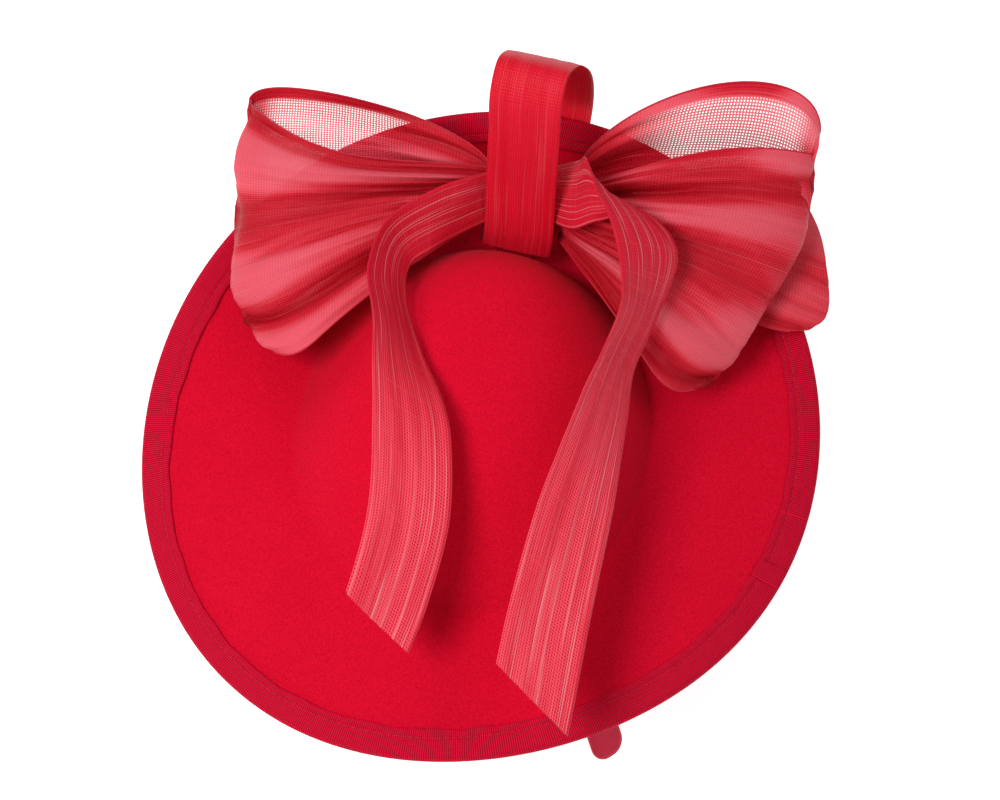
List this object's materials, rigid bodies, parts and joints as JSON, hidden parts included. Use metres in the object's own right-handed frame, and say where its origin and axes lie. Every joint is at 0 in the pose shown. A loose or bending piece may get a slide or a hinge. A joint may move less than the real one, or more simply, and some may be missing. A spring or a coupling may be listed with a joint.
{
  "type": "fascinator",
  "caption": "Round wired felt plate hat with a domed crown, sheer bow, standing loop and tails, sewn to a headband.",
  "frame": {"origin": "middle of the headband's inner face at the top of its arch, where it rests on the head", "axes": "+Z along the crown's axis, away from the head; +Y towards the bow at the back; +X to the right seen from the front of the plate"},
  "size_m": [0.2756, 0.2853, 0.2611],
  "materials": {
    "felt": "matt wool felt with a short nap",
    "grosgrain": "ribbed satin-edged ribbon",
    "silk_abaca": "sheer open weave with a silky lustre",
    "satin": "smooth satin",
    "band_core": "flexible moulded strip",
    "wire": "millinery wire",
    "thread": "sewing thread"
  },
  "bodies": {
    "root": {"felt_body": "felt", "inner_base": "felt", "brim_binding": "grosgrain", "binding_join": "grosgrain", "left_loop": "silk_abaca", "right_loop": "silk_abaca", "right_back_loop": "silk_abaca", "bow_knot": "silk_abaca", "centre_wrap": "silk_abaca", "standing_loop": "silk_abaca", "left_tail_fold": "silk_abaca", "right_tail_fold": "silk_abaca", "headband_sleeve_centre": "satin", "headband_core_centre": "band_core", "edge_wire": "wire", "wire_joiner": "wire", "headband_tack_1": "thread", "headband_tack_2": "thread", "headband_tack_3": "thread", "bow_tack_1": "thread", "bow_tack_2": "thread", "loop_tack_1": "thread", "loop_tack_2": "thread"},
    "front_leg": {"headband_core_front": "band_core", "headband_sleeve_front": "satin", "headband_tip_front": "satin"},
    "back_leg": {"headband_core_back": "band_core", "headband_sleeve_back": "satin", "headband_tip_back": "satin"},
    "left_tail_free": {"left_tail": "silk_abaca"},
    "right_tail_free": {"right_tail": "silk_abaca"}
  },
  "joints": [
    {"name": "front_leg_flex", "type": "hinge", "parent": "root", "child": "front_leg", "pos_m": [0.05261, -0.04737, -0.00242], "axis": [-0.6691, -0.7431, 0], "range_deg": [-3, 12], "stiffness_Nm_per_rad": 1.2},
    {"name": "back_leg_flex", "type": "hinge", "parent": "root", "child": "back_leg", "pos_m": [-0.01215, 0.01094, -0.01005], "axis": [0.6691, 0.7431, 0], "range_deg": [-3, 12], "stiffness_Nm_per_rad": 1.2},
    {"name": "left_tail_lift", "type": "hinge", "parent": "root", "child": "left_tail_free", "pos_m": [-0.051, 0.047, 0.0794], "axis": [-0.9814, -0.1921, 0], "range_deg": [0, 20], "stiffness_Nm_per_rad": 0.08},
    {"name": "right_tail_lift", "type": "hinge", "parent": "root", "child": "right_tail_free", "pos_m": [0.042, 0.075, 0.0924], "axis": [-1, 0, 0], "range_deg": [0, 20], "stiffness_Nm_per_rad": 0.08}
  ]
}
